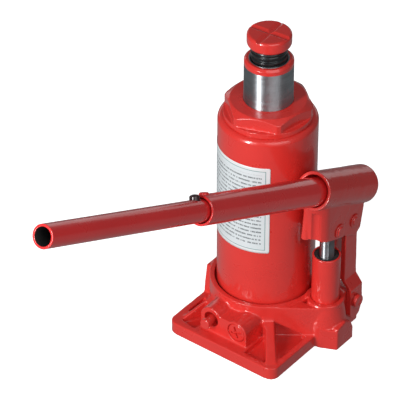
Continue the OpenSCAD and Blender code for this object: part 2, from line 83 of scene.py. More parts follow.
def make_camera():
    data = bpy.data.cameras.new("camera")
    data.lens = CAMERA_LENS
    data.sensor_width = SENSOR_WIDTH
    data.clip_end = 50
    cam = bpy.data.objects.new("camera", data)
    bpy.context.scene.collection.objects.link(cam)
    back = direction(CAMERA_AZIMUTH, CAMERA_ELEVATION)
    cam.location = CAMERA_TARGET + back * CAMERA_DISTANCE
    cam.rotation_mode = "QUATERNION"
    cam.rotation_quaternion = (-back).to_track_quat("-Z", "Y")
    bpy.context.scene.camera = cam


def area_light(name, azimuth, elevation, distance, width, height, power):
    data = bpy.data.lights.new(name, "AREA")
    data.shape = "RECTANGLE"
    data.size, data.size_y = width, height
    data.energy = power
    light = bpy.data.objects.new(name, data)
    bpy.context.scene.collection.objects.link(light)
    back = direction(azimuth, elevation)
    light.location = LIGHTS_AIM + back * distance
    light.rotation_mode = "QUATERNION"
    light.rotation_quaternion = (-back).to_track_quat("-Z", "Y")


def pale_material(name, albedo, glow):
    mat = bpy.data.materials.new(name)
    mat.use_nodes = True
    shader = mat.node_tree.nodes["Principled BSDF"]
    shader.inputs["Base Color"].default_value = (albedo, albedo, albedo, 1)
    shader.inputs["Roughness"].default_value = 0.9
    shader.inputs["Specular IOR Level"].default_value = 0.0
    shader.inputs["Emission Color"].default_value = (1, 1, 1, 1)
    shader.inputs["Emission Strength"].default_value = glow
    return mat


def stage_piece(name, points, faces, material):
    """A part of the room that the camera sees and that neither lights nor darkens the object."""
    mesh = bpy.data.meshes.new(name)
    mesh.from_pydata(points, [], faces)
    mesh.materials.append(material)
    obj = bpy.data.objects.new(name, mesh)
    bpy.context.scene.collection.objects.link(obj)
    obj.visible_diffuse = obj.visible_glossy = obj.visible_transmission = False
    obj.visible_shadow = obj.visible_volume_scatter = False
    return obj


def make_studio():
    scene = bpy.context.scene
    scene.view_settings.view_transform = "Standard"
    world = bpy.data.worlds.new("studio")
    scene.world = world
    world.use_nodes = True
    background = world.node_tree.nodes["Background"]
    background.inputs["Color"].default_value = WORLD_COLOUR
    background.inputs["Strength"].default_value = WORLD_STRENGTH
    for light in LIGHTS:
        area_light(*light)

    size = STAGE_SIZE
    edge = [(-size, -size), (size, -size), (size, size), (-size, size)]
    floor = stage_piece("floor", [(x, y, 0) for x, y in edge], [(0, 1, 2, 3)],
                        pale_material("pale_floor", 0.9, FLOOR_GLOW))
    floor.location.z = -0.0002          # a hair under the part
    stage_piece("backdrop", [(x, y, z) for z in (-0.01, STAGE_HEIGHT) for x, y in edge],
                [(k, (k + 1) % 4, 4 + (k + 1) % 4, 4 + k) for k in range(4)] + [(4, 5, 6, 7)],
                pale_material("pale_backdrop", 0.0, BACKDROP_GLOW))


# ---------------------------------------------------------------- materials

def new_material(name):
    mat = bpy.data.materials.new(name)
    mat.use_nodes = True
    tree = mat.node_tree
    return mat, tree, tree.nodes["Principled BSDF"]


def add(tree, kind, inputs=(), **settings):
    node = tree.nodes.new(kind)
    for key, value in settings.items():
        setattr(node, key, value)
    for key, value in dict(inputs).items():
        if isinstance(value, bpy.types.NodeSocket):
            tree.links.new(value, node.inputs[key])
        else:
            node.inputs[key].default_value = value
    return node


def object_coords(tree, scale=(1, 1, 1)):
    coords = add(tree, "ShaderNodeTexCoord")
    mapping = add(tree, "ShaderNodeMapping", {"Vector": coords.outputs["Object"], "Scale": scale})
    return mapping.outputs["Vector"]


def noise_of(tree, vector, scale, detail=4, roughness=0.5):
    return add(tree, "ShaderNodeTexNoise", {"Vector": vector, "Scale": scale, "Detail": detail,
                                            "Roughness": roughness}).outputs["Fac"]


def ramp(tree, fac, stops):
    node = add(tree, "ShaderNodeValToRGB", {"Fac": fac})
    points = node.color_ramp.elements
    while len(points) < len(stops):
        points.new(0.5)
    for point, (place, colour) in zip(points, stops):
        point.position = place
        point.color = (*colour, 1) if len(colour) == 3 else colour
    return node.outputs["Color"]


def grey(value):
    return (value, value, value)


def mix(tree, fac, a, b, blend_type="MIX"):
    node = add(tree, "ShaderNodeMix", data_type="RGBA", blend_type=blend_type)
    for key, value in ((0, fac), (6, a), (7, b)):
        if isinstance(value, bpy.types.NodeSocket):
            tree.links.new(value, node.inputs[key])
        else:
            node.inputs[key].default_value = value if key == 0 else (*value, 1)
    return node.outputs[2]


def bump(tree, height, distance, strength=1.0, below=None):
    inputs = {"Height": height, "Distance": distance, "Strength": strength}
    if below is not None:
        inputs["Normal"] = below
    return add(tree, "ShaderNodeBump", inputs).outputs["Normal"]


def enamel(name, base, deep, peel=0.00006, cast=0.0):
    """Glossy sprayed enamel: slow colour drift, fine specks, thinner paint on edges, orange peel.

    peel is the depth of the orange peel in metres, cast the depth of a casting's grain under it.
    """
    mat, tree, shader = new_material(name)
    where = object_coords(tree)
    drift = noise_of(tree, where, 18, 3)
    colour = mix(tree, ramp(tree, drift, [(0.3, grey(0.0)), (0.75, grey(1.0))]), base, deep)
    speck = noise_of(tree, where, 900, 2)
    colour = mix(tree, ramp(tree, speck, [(0.68, grey(0.0)), (0.8, grey(0.35))]), colour,
                 tuple(min(1, c * 1.25 + 0.02) for c in base))
    edge = add(tree, "ShaderNodeNewGeometry").outputs["Pointiness"]
    thin = ramp(tree, edge, [(0.53, grey(0.0)), (0.62, grey(0.30))])
    colour = mix(tree, thin, colour, tuple(min(1, c * 1.3 + 0.04) for c in base))
    tree.links.new(colour, shader.inputs["Base Color"])
    rough = ramp(tree, noise_of(tree, where, 60, 4), [(0.3, grey(0.24)), (0.7, grey(0.36))])
    tree.links.new(rough, shader.inputs["Roughness"])
    shader.inputs["IOR"].default_value = 1.5
    shader.inputs["Coat Weight"].default_value = 0.8
    shader.inputs["Coat Roughness"].default_value = 0.06
    shader.inputs["Coat IOR"].default_value = 1.5
    normal = bump(tree, noise_of(tree, where, 420, 2), peel, 0.6)
    if cast:
        normal = bump(tree, noise_of(tree, where, 150, 5, 0.6), cast, 0.7, normal)
    tree.links.new(normal, shader.inputs["Normal"])
    tree.links.new(normal, shader.inputs["Coat Normal"])
    return mat


def turned_steel(name, colour, roughness, ring_scale, scratches=0.000004, grain=0.0):
    """Ground round bar along its own Z: fine rings round the axis, a few handling marks.

    scratches is the depth of the rings in metres, grain how much they draw highlights out.
    """
    mat, tree, shader = new_material(name)
    if grain:
        shader.inputs["Anisotropic"].default_value = grain
        shader.inputs["Anisotropic Rotation"].default_value = 0.25      # streaks run along the bar
        tangent = add(tree, "ShaderNodeTangent", direction_type="RADIAL", axis="Z")
        tree.links.new(tangent.outputs["Tangent"], shader.inputs["Tangent"])
    rings = noise_of(tree, object_coords(tree, (40, 40, ring_scale)), 1.0, 3, 0.6)
    marks = noise_of(tree, object_coords(tree), 220, 6, 0.7)
    tone = mix(tree, ramp(tree, marks, [(0.35, grey(0.0)), (0.7, grey(1.0))]), colour,
               tuple(c * 0.86 for c in colour))
    tree.links.new(tone, shader.inputs["Base Color"])
    shader.inputs["Metallic"].default_value = 1.0
    rough = ramp(tree, rings, [(0.3, grey(roughness * 0.7)), (0.7, grey(roughness * 1.35))])
    tree.links.new(rough, shader.inputs["Roughness"])
    normal = bump(tree, rings, scratches, 0.8)
    tree.links.new(bump(tree, marks, scratches * 0.6, 0.5, normal), shader.inputs["Normal"])
    return mat


def black_oxide():
    """Blackened steel with a film of oil."""
    mat, tree, shader = new_material("black_oxide")
    where = object_coords(tree)
    cloud = noise_of(tree, where, 160, 5, 0.6)
    colour = ramp(tree, cloud, [(0.3, (0.010, 0.012, 0.013)), (0.7, (0.035, 0.042, 0.045))])
    tree.links.new(colour, shader.inputs["Base Color"])
    shader.inputs["Metallic"].default_value = 0.55
    rough = ramp(tree, cloud, [(0.3, grey(0.22)), (0.75, grey(0.4))])
    tree.links.new(rough, shader.inputs["Roughness"])
    shader.inputs["Coat Weight"].default_value = 0.4
    shader.inputs["Coat Roughness"].default_value = 0.12
    tree.links.new(bump(tree, noise_of(tree, where, 700, 3), 0.00002, 0.6), shader.inputs["Normal"])
    return mat


def rubber(name, shade):
    """Matt and dark, with a fine grain."""
    mat, tree, shader = new_material(name)
    where = object_coords(tree)
    grain = noise_of(tree, where, 800, 4, 0.7)
    colour = ramp(tree, grain, [(0.3, grey(shade * 0.7)), (0.7, grey(shade * 1.6))])
    tree.links.new(colour, shader.inputs["Base Color"])
    rough = ramp(tree, grain, [(0.3, grey(0.5)), (0.7, grey(0.7))])
    tree.links.new(rough, shader.inputs["Roughness"])
    tree.links.new(bump(tree, grain, 0.00003, 0.5), shader.inputs["Normal"])
    return mat


def plain_plastic(name, colour):
    """Half-gloss plastic with a faint cloud in its colour."""
    mat, tree, shader = new_material(name)
    cloud = noise_of(tree, object_coords(tree), 200, 4)
    tone = mix(tree, cloud, colour, tuple(c * 0.9 for c in colour))
    tree.links.new(tone, shader.inputs["Base Color"])
    rough = ramp(tree, cloud, [(0.3, grey(0.4)), (0.7, grey(0.55))])
    tree.links.new(rough, shader.inputs["Roughness"])
    tree.links.new(bump(tree, cloud, 0.00002, 0.4), shader.inputs["Normal"])
    return mat


def make_materials():
    red, deep = (0.78, 0.038, 0.030), (0.70, 0.030, 0.024)
    # the handle tubes get a lighter, more saturated copy of the red enamel: painted light, making up for light the
    # tubes get too little of
    tube, tube_deep = (0.93, 0.028, 0.028), (0.84, 0.023, 0.024)
    return {
        "enamel": enamel("red_enamel", red, deep),
        "enamel_cast": enamel("red_enamel_on_casting", red, deep, cast=0.00030),
        "black_enamel": enamel("black_enamel", (0.045, 0.012, 0.014), (0.03, 0.008, 0.009),
                               peel=0.00003),
        "enamel_tube_painted_light": enamel("red_enamel_on_tube_painted_light", tube, tube_deep, peel=0.00004),
        "ground_steel": turned_steel("ground_steel", (0.60, 0.64, 0.67), 0.48, 900,
                                     scratches=0.0000008, grain=0.97),
        "plain_steel": turned_steel("plain_steel", (0.46, 0.47, 0.48), 0.30, 700),
        "black_oxide": black_oxide(),
        "rubber": rubber("nitrile_rubber", 0.018),
        "nylon": plain_plastic("nylon", (0.78, 0.76, 0.70)),
        "brass": turned_steel("turned_brass", (0.72, 0.53, 0.22), 0.26, 700),
        "tube_inside": rubber("tube_inside", 0.03),
    }


# ---------------------------------------------------------------- mesh helpers

SUPPORT = 0.05              # millimetres from a rounded edge to the loop that keeps its flat flat


def mesh_object(name, points, faces, materials, face_slots=None, smooth=True):
    """A mesh from points in millimetres."""
    mesh = bpy.data.meshes.new(name)
    mesh.from_pydata([tuple(p) for p in np.asarray(points, float) * MM], [], faces)
    for mat in materials:
        mesh.materials.append(mat)
    if face_slots is not None:
        mesh.polygons.foreach_set("material_index", face_slots)
    mesh.polygons.foreach_set("use_smooth", [smooth] * len(mesh.polygons))
    mesh.update()
    obj = bpy.data.objects.new(name, mesh)
    bpy.context.scene.collection.objects.link(obj)
    return obj


def weld(obj, distance=2e-6):
    work = bmesh.new()
    work.from_mesh(obj.data)
    bmesh.ops.remove_doubles(work, verts=work.verts, dist=distance)
    bmesh.ops.dissolve_degenerate(work, edges=work.edges, dist=distance / 2)
    bmesh.ops.recalc_face_normals(work, faces=work.faces)
    work.to_mesh(obj.data)
    work.free()
    return obj


def rounded(corners, steps=6):
    """Closed outline from (r, z) or (r, z, fillet) corners.

    Each fillet becomes an arc with a support point at each end.
    """
    out = []
    count = len(corners)
    for i, corner in enumerate(corners):
        here = np.array(corner[:2], float)
        radius = corner[2] if len(corner) > 2 else 0
        back = np.array(corners[i - 1][:2], float) - here
        ahead = np.array(corners[(i + 1) % count][:2], float) - here
        long_back, long_ahead = np.linalg.norm(back), np.linalg.norm(ahead)
        back, ahead = back / long_back, ahead / long_ahead
        half = math.acos(max(-1, min(1, float(back @ ahead)))) / 2
        if radius <= 0 or half > math.radians(88):
            out.append(here)
            continue
        run = min(radius / math.tan(half), 0.48 * long_back, 0.48 * long_ahead)
        radius = run * math.tan(half)
        middle = here + (back + ahead) / np.linalg.norm(back + ahead) * radius / math.sin(half)
        start, end = here + back * run - middle, here + ahead * run - middle
        a0 = math.atan2(start[1], start[0])
        turn = (math.atan2(end[1], end[0]) - a0 + math.pi) % TAU - math.pi
        if run + SUPPORT < 0.5 * long_back:
            out.append(here + back * (run + SUPPORT))
        arc = [a0 + turn * k / steps for k in range(steps + 1)]
        out += [middle + radius * np.array([math.cos(a), math.sin(a)]) for a in arc]
        if run + SUPPORT < 0.5 * long_ahead:
            out.append(here + ahead * (run + SUPPORT))
    return np.array(out)


def lathe(name, corners, materials, place=None, segments=160, steps=6, slot_of=None):
    """Solid of revolution round local Z. slot_of(r, z) picks a material slot from a face's middle."""
    outline = rounded(corners, steps)
    angles = np.arange(segments) * TAU / segments
    r, z = outline[:, 0], outline[:, 1]
    points = np.stack([np.outer(r, np.cos(angles)), np.outer(r, np.sin(angles)),
                       np.repeat(z[:, None], segments, 1)], -1).reshape(-1, 3)
    rows = len(outline)
    faces, slots = [], []
    for i in range(rows):
        j = (i + 1) % rows
        if r[i] < 1e-9 and r[j] < 1e-9:
            continue
        where = slot_of((r[i] + r[j]) / 2, (z[i] + z[j]) / 2) if slot_of else 0
        for k in range(segments):
            m = (k + 1) % segments
            faces.append((i * segments + k, i * segments + m, j * segments + m, j * segments + k))
            slots.append(where)
    obj = mesh_object(name, points, faces, materials, slots)
    weld(obj)
    if place is not None:
        obj.data.transform(place)
    return obj


def along_x(y, z):
    """Local Z of a lathe becomes +X."""
    return Matrix.Translation(Vector((0, y, z)) * MM) @ Matrix.Rotation(math.radians(90), 4, "Y")


def along_front(x, z):
    """Local Z of a lathe becomes -Y."""
    return Matrix.Translation(Vector((x, 0, z)) * MM) @ Matrix.Rotation(math.radians(90), 4, "X")


def cut(obj, *cutters):
    """Takes the cutters out of obj, for good."""
    for cutter in cutters:
        tool = obj.modifiers.new("cut", "BOOLEAN")
        tool.operation = "DIFFERENCE"
        tool.solver = "EXACT"
        tool.object = cutter
    bake_modifiers(obj)
    for cutter in cutters:
        bpy.data.objects.remove(cutter)
    return obj


def bake_modifiers(obj):
    bpy.context.view_layer.update()
    graph = bpy.context.evaluated_depsgraph_get()
    mesh = bpy.data.meshes.new_from_object(obj.evaluated_get(graph))
    obj.modifiers.clear()
    obj.data = mesh
    return obj


def box_cutter(corner, opposite):
    x0, y0, z0 = corner
    x1, y1, z1 = opposite
    points = [(x, y, z) for z in (z0, z1) for y in (y0, y1) for x in (x0, x1)]
    faces = [(0, 2, 3, 1), (4, 5, 7, 6), (0, 1, 5, 4), (2, 6, 7, 3), (0, 4, 6, 2), (1, 3, 7, 5)]
    return mesh_object("cutter", points, faces, [], smooth=False)


def waves(points, size, seed, count=14):
    """Smooth seeded unevenness between -1 and 1 at each point, of a typical wavelength."""
    rng = np.random.default_rng(seed)
    total = np.zeros(len(points))
    for _ in range(count):
        way = rng.normal(size=3)
        way /= np.linalg.norm(way)
        total += np.sin(points @ way * TAU / (size * rng.uniform(0.6, 1.6)) + rng.uniform(0, TAU))
    return np.clip(total / math.sqrt(count / 2) / 2.2, -1, 1)


def skin(node, finish, voxel, rounds, wobble=0.0, wave=10, seed=3):
    """Even, soft-edged copy of a CAD node, with the slight unevenness of its making.

    voxel is the mesh size, rounds how often the edges are softened, wobble the depth of the
    unevenness and wave its typical length, all lengths in millimetres.
    """
    mesh = frame["nodes"][node].data.copy()
    mesh.materials.clear()
    obj = bpy.data.objects.new(node + "_skin", mesh)
    bpy.context.scene.collection.objects.link(obj)
    weld(obj)
    grid = obj.modifiers.new("grid", "REMESH")
    grid.mode = "VOXEL"
    grid.voxel_size = voxel * MM
    soft = obj.modifiers.new("soft", "SMOOTH")
    soft.factor = 0.5
    soft.iterations = rounds
    bake_modifiers(obj)
    count = len(obj.data.vertices)
    place = np.zeros(count * 3)
    obj.data.vertices.foreach_get("co", place)
    place = place.reshape(-1, 3)
    if wobble:
        out = np.zeros(count * 3)
        obj.data.vertices.foreach_get("normal", out)
        depth = (0.5 + 0.5 * waves(place / MM, wave, seed)) * wobble * MM
        depth *= np.clip(place[:, 2] / (3 * MM), 0, 1)      # nothing at the floor
        place = place - out.reshape(-1, 3) * depth[:, None]
    lo, hi = (np.array(v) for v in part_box(node))
    obj.data.vertices.foreach_set("co", np.clip(place, lo, hi).ravel())
    obj.data.materials.append(MATERIALS[finish])
    obj.data.polygons.foreach_set("use_smooth", [True] * len(obj.data.polygons))
    obj.data.update()
    return obj


def body_of(node):
    bodies = frame["record"]["behaviour"]["bodies"]
    return next(body for body, members in bodies.items() if node in members)


def stands_for(obj, node):
    """obj takes the place of a CAD node, on the same body."""
    obj.name = node + "_look"
    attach(obj, body_of(node))
    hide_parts(node)
    return obj


def shared_frame():
    """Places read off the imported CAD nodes, in millimetres."""
    def middle(node):
        lo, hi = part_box(node)
        return (lo + hi) / 2 / MM

    def low(node):
        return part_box(node)[0] / MM

    def high(node):
        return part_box(node)[1] / MM

    return middle, low, high


# ---------------------------------------------------------------- the pieces
# All lengths are in millimetres. Every outline is a list of (radius, height) or (radius, height,
# fillet) corners round the piece's own axis.

MATERIALS = make_materials()
middle, low, high = shared_frame()
JOINTS = {j["name"]: j for j in frame["joints"]}
HANDLE_WAY = Vector(JOINTS["upper_handle_pull"]["axis"]).normalized()


def mat(*names):
    return [MATERIALS[n] for n in names]


def handle_place(node, start, end):
    """Local Z along the handle, local Y up, with the places along it counted as start and end are."""
    centre = middle(node)
    root = centre - HANDLE_WAY * (start + end) / 2
    turn = math.acos(max(-1, min(1, HANDLE_WAY.z)))
    return Matrix.Translation(root * MM) @ Matrix.Rotation(turn, 4, "X")


# places along the handle, counted from the ram's plane towards the free end
LOWER_START, LOWER_END = 116, 325
UPPER_START, UPPER_END = -38, 155.5
BUTTON_AT = 160.8
LUG_AT, HOLE_AT = UPPER_END - 5.5, UPPER_END - 11.6
BUTTON_TURN = 22            # degrees from the top of the tube to the line of the button
UPPER_RADIUS, LOWER_RADIUS, TUBE_WALL = 10.2, 7.8, 1.7
HANDLE = handle_place("handle_lower", LOWER_START, LOWER_END)


def build_base():
    obj = skin("base_casting", "enamel_cast", voxel=0.5, rounds=11, wobble=0.16, wave=13)
    stands_for(obj, "base_casting")


def build_tank():
    radius = high("reservoir_tank").x
    bottom, top = low("reservoir_tank").z, high("reservoir_tank").z
    shoulder, wall, mouth = 6, 2.5, 27
    filler_z, filler_turn, filler_r = 142, 118, 4.6
    tank = lathe("tank", [
        (radius - wall, bottom, 0.3), (radius, bottom, 0.4), (radius, top, shoulder),
        (mouth, top, 0.3), (mouth, top - shoulder, 0.3), (radius - wall, top - shoulder, 2)],
        mat("enamel"), segments=224, steps=14)
    around = Matrix.Rotation(math.radians(filler_turn), 4, "Z")
    hole = lathe("cutter", [(0, 20), (filler_r, 20), (filler_r, 45), (0, 45)], [],
                 along_x(0, filler_z), 64)
    hole.data.transform(around)
    cut(tank, hole)
    stands_for(tank, "reservoir_tank")

    lip_r, neck_r, cap_r = 5.4, 4.5, 6.5
    plug = lathe("filler", [
        (0, 30.4), (lip_r, 30.4, 0.3), (lip_r, 32, 0.2), (neck_r, 32), (neck_r, 35.4),
        (cap_r, 35.5, 0.3), (cap_r, 37.3, 0.9), (3.4, 37.3, 0.5), (2.8, 36.6, 0.4), (0, 36.6)],
        mat("rubber"), along_x(0, filler_z), 96)
    plug.data.transform(around)
    stands_for(plug, "filler_plug")


def build_nut():
    obj = skin("tank_nut", "enamel", voxel=0.33, rounds=4, wobble=0.10, wave=11, seed=5)
    stands_for(obj, "tank_nut")
    bottom, top = low("nut_wiper").z, high("nut_wiper").z
    bore = high("ram").x + 0.02
    outside = 19.9
    wiper = lathe("wiper", [(bore, bottom, 0.2), (outside, bottom, 0.2), (outside, top, 0.2),
                            (bore, top, 0.5)], mat("rubber"), segments=120)
    stands_for(wiper, "nut_wiper")


def build_ram():
    radius, bottom, top = high("ram").x, low("ram").z, high("ram").z
    bore, bore_depth = 13.1, 86
    seal_r, seal_from, seal_to = 13.5, bottom + 3, bottom + 8.4
    stop_r, stop_from, stop_to = 15.6, bottom + 10, bottom + 12
    bevel = 1.5
    band = 4.3              # height of the painted band under the top edge

    def finish(r, z):
        painted = z > top - band and r > bore + 0.9
        return 1 if painted else 0

    obj = lathe("ram", [
        (0, bottom), (radius, bottom, 0.5), (radius, seal_from, 0.1), (seal_r, seal_from, 0.1),
        (seal_r, seal_to, 0.1), (radius, seal_to, 0.1), (radius, stop_from, 0.1),
        (stop_r, stop_from, 0.1), (stop_r, stop_to, 0.1), (radius, stop_to, 0.1),
        (radius, top - band), (radius, top - bevel, 0.5), (radius - bevel, top, 0.5),
        (bore + 1.0, top), (bore, top, 0.35), (bore, top - bore_depth), (0, top - bore_depth)],
        mat("ground_steel", "enamel"), segments=192, slot_of=finish)
    stands_for(obj, "ram")


def build_screw():
    """Extension screw: a real right-hand thread, cut up to a neck under the saddle."""
    crest, bottom, shelf = 12.7, low("extension_screw").z, low("saddle").z
    pitch, depth = 4.0, 1.1
    ring_from, ring_to, ring_depth = bottom + 3, bottom + 5, 1.4
    tenon_r, tenon_h = 7.0, 4.5             # stands in the saddle
    steps, rise = 144, 0.2
    heights = np.arange(bottom, shelf - 1.6 + rise / 2, rise)
    angles = np.arange(steps) * TAU / steps
    turn, z = np.meshgrid(angles, heights)
    phase = ((z - shelf) / pitch - turn / TAU) % 1.0
    groove = np.clip((0.34 - np.abs(phase - 0.5)) / 0.24, 0, 1)
    groove = groove * groove * (3 - 2 * groove)
    # the thread runs out under the saddle and above the foot
    fade = np.clip((shelf - 2.2 - z) / 1.6, 0, 1) * np.clip((z - bottom - 8.5) / 2.5, 0, 1)
    radius = crest - depth * groove * fade
    radius -= np.clip((bottom + 1.2 - z), 0, 1.2)
    radius = np.where((z > ring_from) & (z < ring_to), crest - ring_depth, radius)

    def row(r, height):
        return np.stack([np.broadcast_to(r, steps), angles, np.broadcast_to(height, steps)], -1)

    rows = [row(0.0, bottom)] + [row(radius[i], z[i]) for i in range(len(heights))]
    rows += [row(r, height) for r, height in (
        (crest - 0.15, shelf - 1.3), (crest - 0.6, shelf - 0.7), (crest - 1.0, shelf - 0.5),
        (crest - 1.05, shelf - 0.02), (tenon_r, shelf), (tenon_r, shelf + tenon_h - 0.2),
        (tenon_r - 0.4, shelf + tenon_h), (0.0, shelf + tenon_h))]
    grid = np.concatenate(rows)
    points = np.stack([grid[:, 0] * np.cos(grid[:, 1]), grid[:, 0] * np.sin(grid[:, 1]),
                       grid[:, 2]], -1)
    faces = []
    for i in range(len(rows) - 1):
        for k in range(steps):
            ahead = (k + 1) % steps
            faces.append((i * steps + k, i * steps + ahead, (i + 1) * steps + ahead,
                          (i + 1) * steps + k))
    obj = weld(mesh_object("screw", points, faces, mat("black_oxide")))
    stands_for(obj, "extension_screw")


def build_saddle():
    obj = skin("saddle", "enamel", voxel=0.22, rounds=5)
    stands_for(obj, "saddle")


def build_pump():
    lo, hi, centre = low("pump_cylinder"), high("pump_cylinder"), middle("pump_cylinder")
    radius, top = (hi.x - lo.x) / 2, hi.z
    mouth_r, mouth_depth, bore_r, bore_z, port_r = 8.8, 4, 6, 15, 1.8
    place = Matrix.Translation(Vector((centre.x, centre.y, 0)) * MM)
    obj = lathe("cylinder", [
        (port_r, lo.z), (radius, lo.z, 0.4), (radius, top, 1.0), (mouth_r, top, 0.25),
        (mouth_r, top - mouth_depth), (bore_r, top - mouth_depth, 0.2), (bore_r, bore_z),
        (port_r, bore_z)], mat("enamel"), place, 144)
    stands_for(obj, "pump_cylinder")

    lo, hi = low("pump_wiper"), high("pump_wiper")
    bore = (high("pump_piston").x - low("pump_piston").x) / 2 - 0.68
    outside = 8.75
    obj = lathe("scraper", [(bore, lo.z), (outside, lo.z), (outside, hi.z, 0.3),
                            (bore + 1.6, hi.z, 0.3), (bore + 0.1, hi.z - 0.9, 0.3)],
                mat("rubber"), place, 120)
    stands_for(obj, "pump_wiper")

    lo, hi = low("pump_piston"), high("pump_piston")
    head_r, head_z, groove_r, rod_r = 5.9, 45, 4.6, 5.2
    obj = lathe("piston", [
        (0, lo.z), (head_r, lo.z, 0.3), (head_r, 40.2, 0.1), (groove_r, 40.2, 0.1),
        (groove_r, 42.6, 0.1), (head_r, 42.6, 0.1), (head_r, head_z, 0.2), (rod_r, head_z + 1, 0.2),
        (rod_r, hi.z - 1.2, 0.3), (4.0, hi.z, 0.3), (0, hi.z)], mat("ground_steel"), place, 112)
    pin, hole_r = middle("piston_pin"), 3.25
    cut(obj, lathe("cutter", [(0, centre.x - 9), (hole_r, centre.x - 9), (hole_r, centre.x + 9),
                              (0, centre.x + 9)], [], along_x(pin.y, pin.z), 64))
    stands_for(obj, "pump_piston")


def build_clevis():
    obj = skin("handle_socket", "enamel_cast", voxel=0.4, rounds=5, wobble=0.14, wave=12, seed=8)
    stands_for(obj, "handle_socket")
    for node, radius, head in (("piston_pin", 3.2, 5.3), ("link_upper_pin", 3.6, 5.1)):
        lo, hi, centre = low(node), high(node), middle(node)
        face = hi.x - 1.8
        obj = lathe(node, [
            (0, lo.x), (radius, lo.x, 0.5), (radius, face, 0.1), (head, face, 0.2),
            (head, face + 1.0, 0.45), (head - 1.5, face + 1.05, 0.3), (head - 1.9, hi.x, 0.4),
            (0, hi.x)], mat("enamel"), along_x(centre.y, centre.z), 96)
        stands_for(obj, node)


def build_links():
    for k, node in enumerate(("outer_link", "inner_link")):
        obj = skin(node, "enamel_cast", voxel=0.34, rounds=4, wobble=0.12, wave=10, seed=20 + k)
        stands_for(obj, node)
    lo, hi, centre = low("link_lower_pin"), high("link_lower_pin"), middle("link_lower_pin")
    radius, head, face = 3.6, 5.0, hi.x - 3
    obj = lathe("low_pin", [
        (0, lo.x), (radius, lo.x, 0.5), (radius, face, 0.1), (head, face, 0.2), (head, hi.x, 1.0),
        (2.4, hi.x, 0.4), (2.0, hi.x - 0.4, 0.4), (0, hi.x - 0.4)],
        mat("enamel"), along_x(centre.y, centre.z), 96)
    stands_for(obj, "link_lower_pin")


def out_of_tube(at):
    """Local Z out of the handle tube's side, in line with the button."""
    return (Matrix.Rotation(math.radians(BUTTON_TURN), 4, "Z")
            @ Matrix.Translation(Vector((0, 0, at)) * MM) @ Matrix.Rotation(-math.pi / 2, 4, "X"))


def join(obj, *others):
    """Adds the other meshes to obj's."""
    work = bmesh.new()
    for piece in (obj, *others):
        work.from_mesh(piece.data)
    work.to_mesh(obj.data)
    work.free()
    for piece in others:
        bpy.data.objects.remove(piece)
    return obj


def tube(name, radius, start, end, fine_from, fine_to):
    """Rings stand close together where something is cut, so that the cut shades well."""
    inner = radius - TUBE_WALL
    rings = [start + 14, *np.arange(fine_from, fine_to, 0.9)]
    return lathe(name, [
        (inner, start, 0.2), (radius, start, 0.4), *[(radius, z) for z in rings],
        (radius, end, 0.55), (inner, end, 0.5), *[(inner, z) for z in rings[::-1]]],
        mat("enamel_tube_painted_light", "tube_inside"), segments=192,
        slot_of=lambda r, z: 1 if r < inner + 0.05 else 0)


def hole_cutter(at, radius, segments):
    return lathe("cutter", [(0, 0), (radius, 0), (radius, 20), (0, 20)], [], out_of_tube(at),
                 segments)


def build_handle():
    """Two tubes, one inside the other: a notch for the valve, a pressed lug and the button's hole."""
    upper = tube("handle_upper", UPPER_RADIUS, UPPER_START, UPPER_END, UPPER_END - 15, UPPER_END - 7)
    notch_half, notch_depth = 4.6, 10
    notch = box_cutter((-20, -notch_half, UPPER_START - 1),
                       (20, notch_half, UPPER_START + notch_depth))
    cut(upper, notch, hole_cutter(HOLE_AT, 1.9, 48))
    lug = lathe("lug", [(0, 8.8), (3.4, 8.8), (3.4, 11.5, 1.6), (0, 11.7)], mat("enamel_tube_painted_light"),
                out_of_tube(LUG_AT), 64)
    join(upper, lug)

    lower = tube("handle_lower", LOWER_RADIUS, LOWER_START, LOWER_END, BUTTON_AT - 7, BUTTON_AT + 8)
    button_r = 3.6
    cut(lower, hole_cutter(BUTTON_AT, button_r + 0.35, 72))
    for obj, node in ((upper, "handle_upper"), (lower, "handle_lower")):
        obj.data.transform(HANDLE)
        stands_for(obj, node)

    button = lathe("button", [(0, 5), (button_r, 5, 0.2), (button_r, 10.0, 1.2), (2.0, 10.9, 1.2),
                              (0, 11.2)], mat("black_enamel"), out_of_tube(BUTTON_AT), 96)
    button.data.transform(HANDLE)
    stands_for(button, "handle_button")


def build_valves():
    centre, reach = middle("release_valve"), -low("release_valve").y
    seat_r, shank_r, groove_r, stem_r, head_r = 2.2, 5, 3.9, 3.2, 4
    obj = lathe("valve", [
        (0, 24.4), (seat_r, 24.4, 0.2), (2.8, 30.2, 0.2), (shank_r, 31, 0.2), (shank_r, 41.8, 0.1),
        (groove_r, 41.8), (groove_r, 43.6), (shank_r, 43.6, 0.1), (shank_r, 45.6, 0.3),
        (stem_r, 46.4, 0.3), (stem_r, reach - 3.2, 0.2), (head_r, reach - 2.8, 0.2),
        (head_r, reach, 0.7), (0, reach)], mat("enamel"), along_front(centre.x, centre.z), 96)
    stands_for(obj, "release_valve")
    obj = skin("relief_plug", "enamel", voxel=0.14, rounds=4)
    stands_for(obj, "relief_plug")


# the label: a film round the tank, from one angle to the other, seen from above
LABEL_FROM, LABEL_TO = math.radians(-175), math.radians(-50)
LABEL_RADIUS, LABEL_FILM = 35.25, 0.06
LABEL_SIZE = ((LABEL_TO - LABEL_FROM) * LABEL_RADIUS, high("label").z - low("label").z)
LABEL_CORNER = 1.2


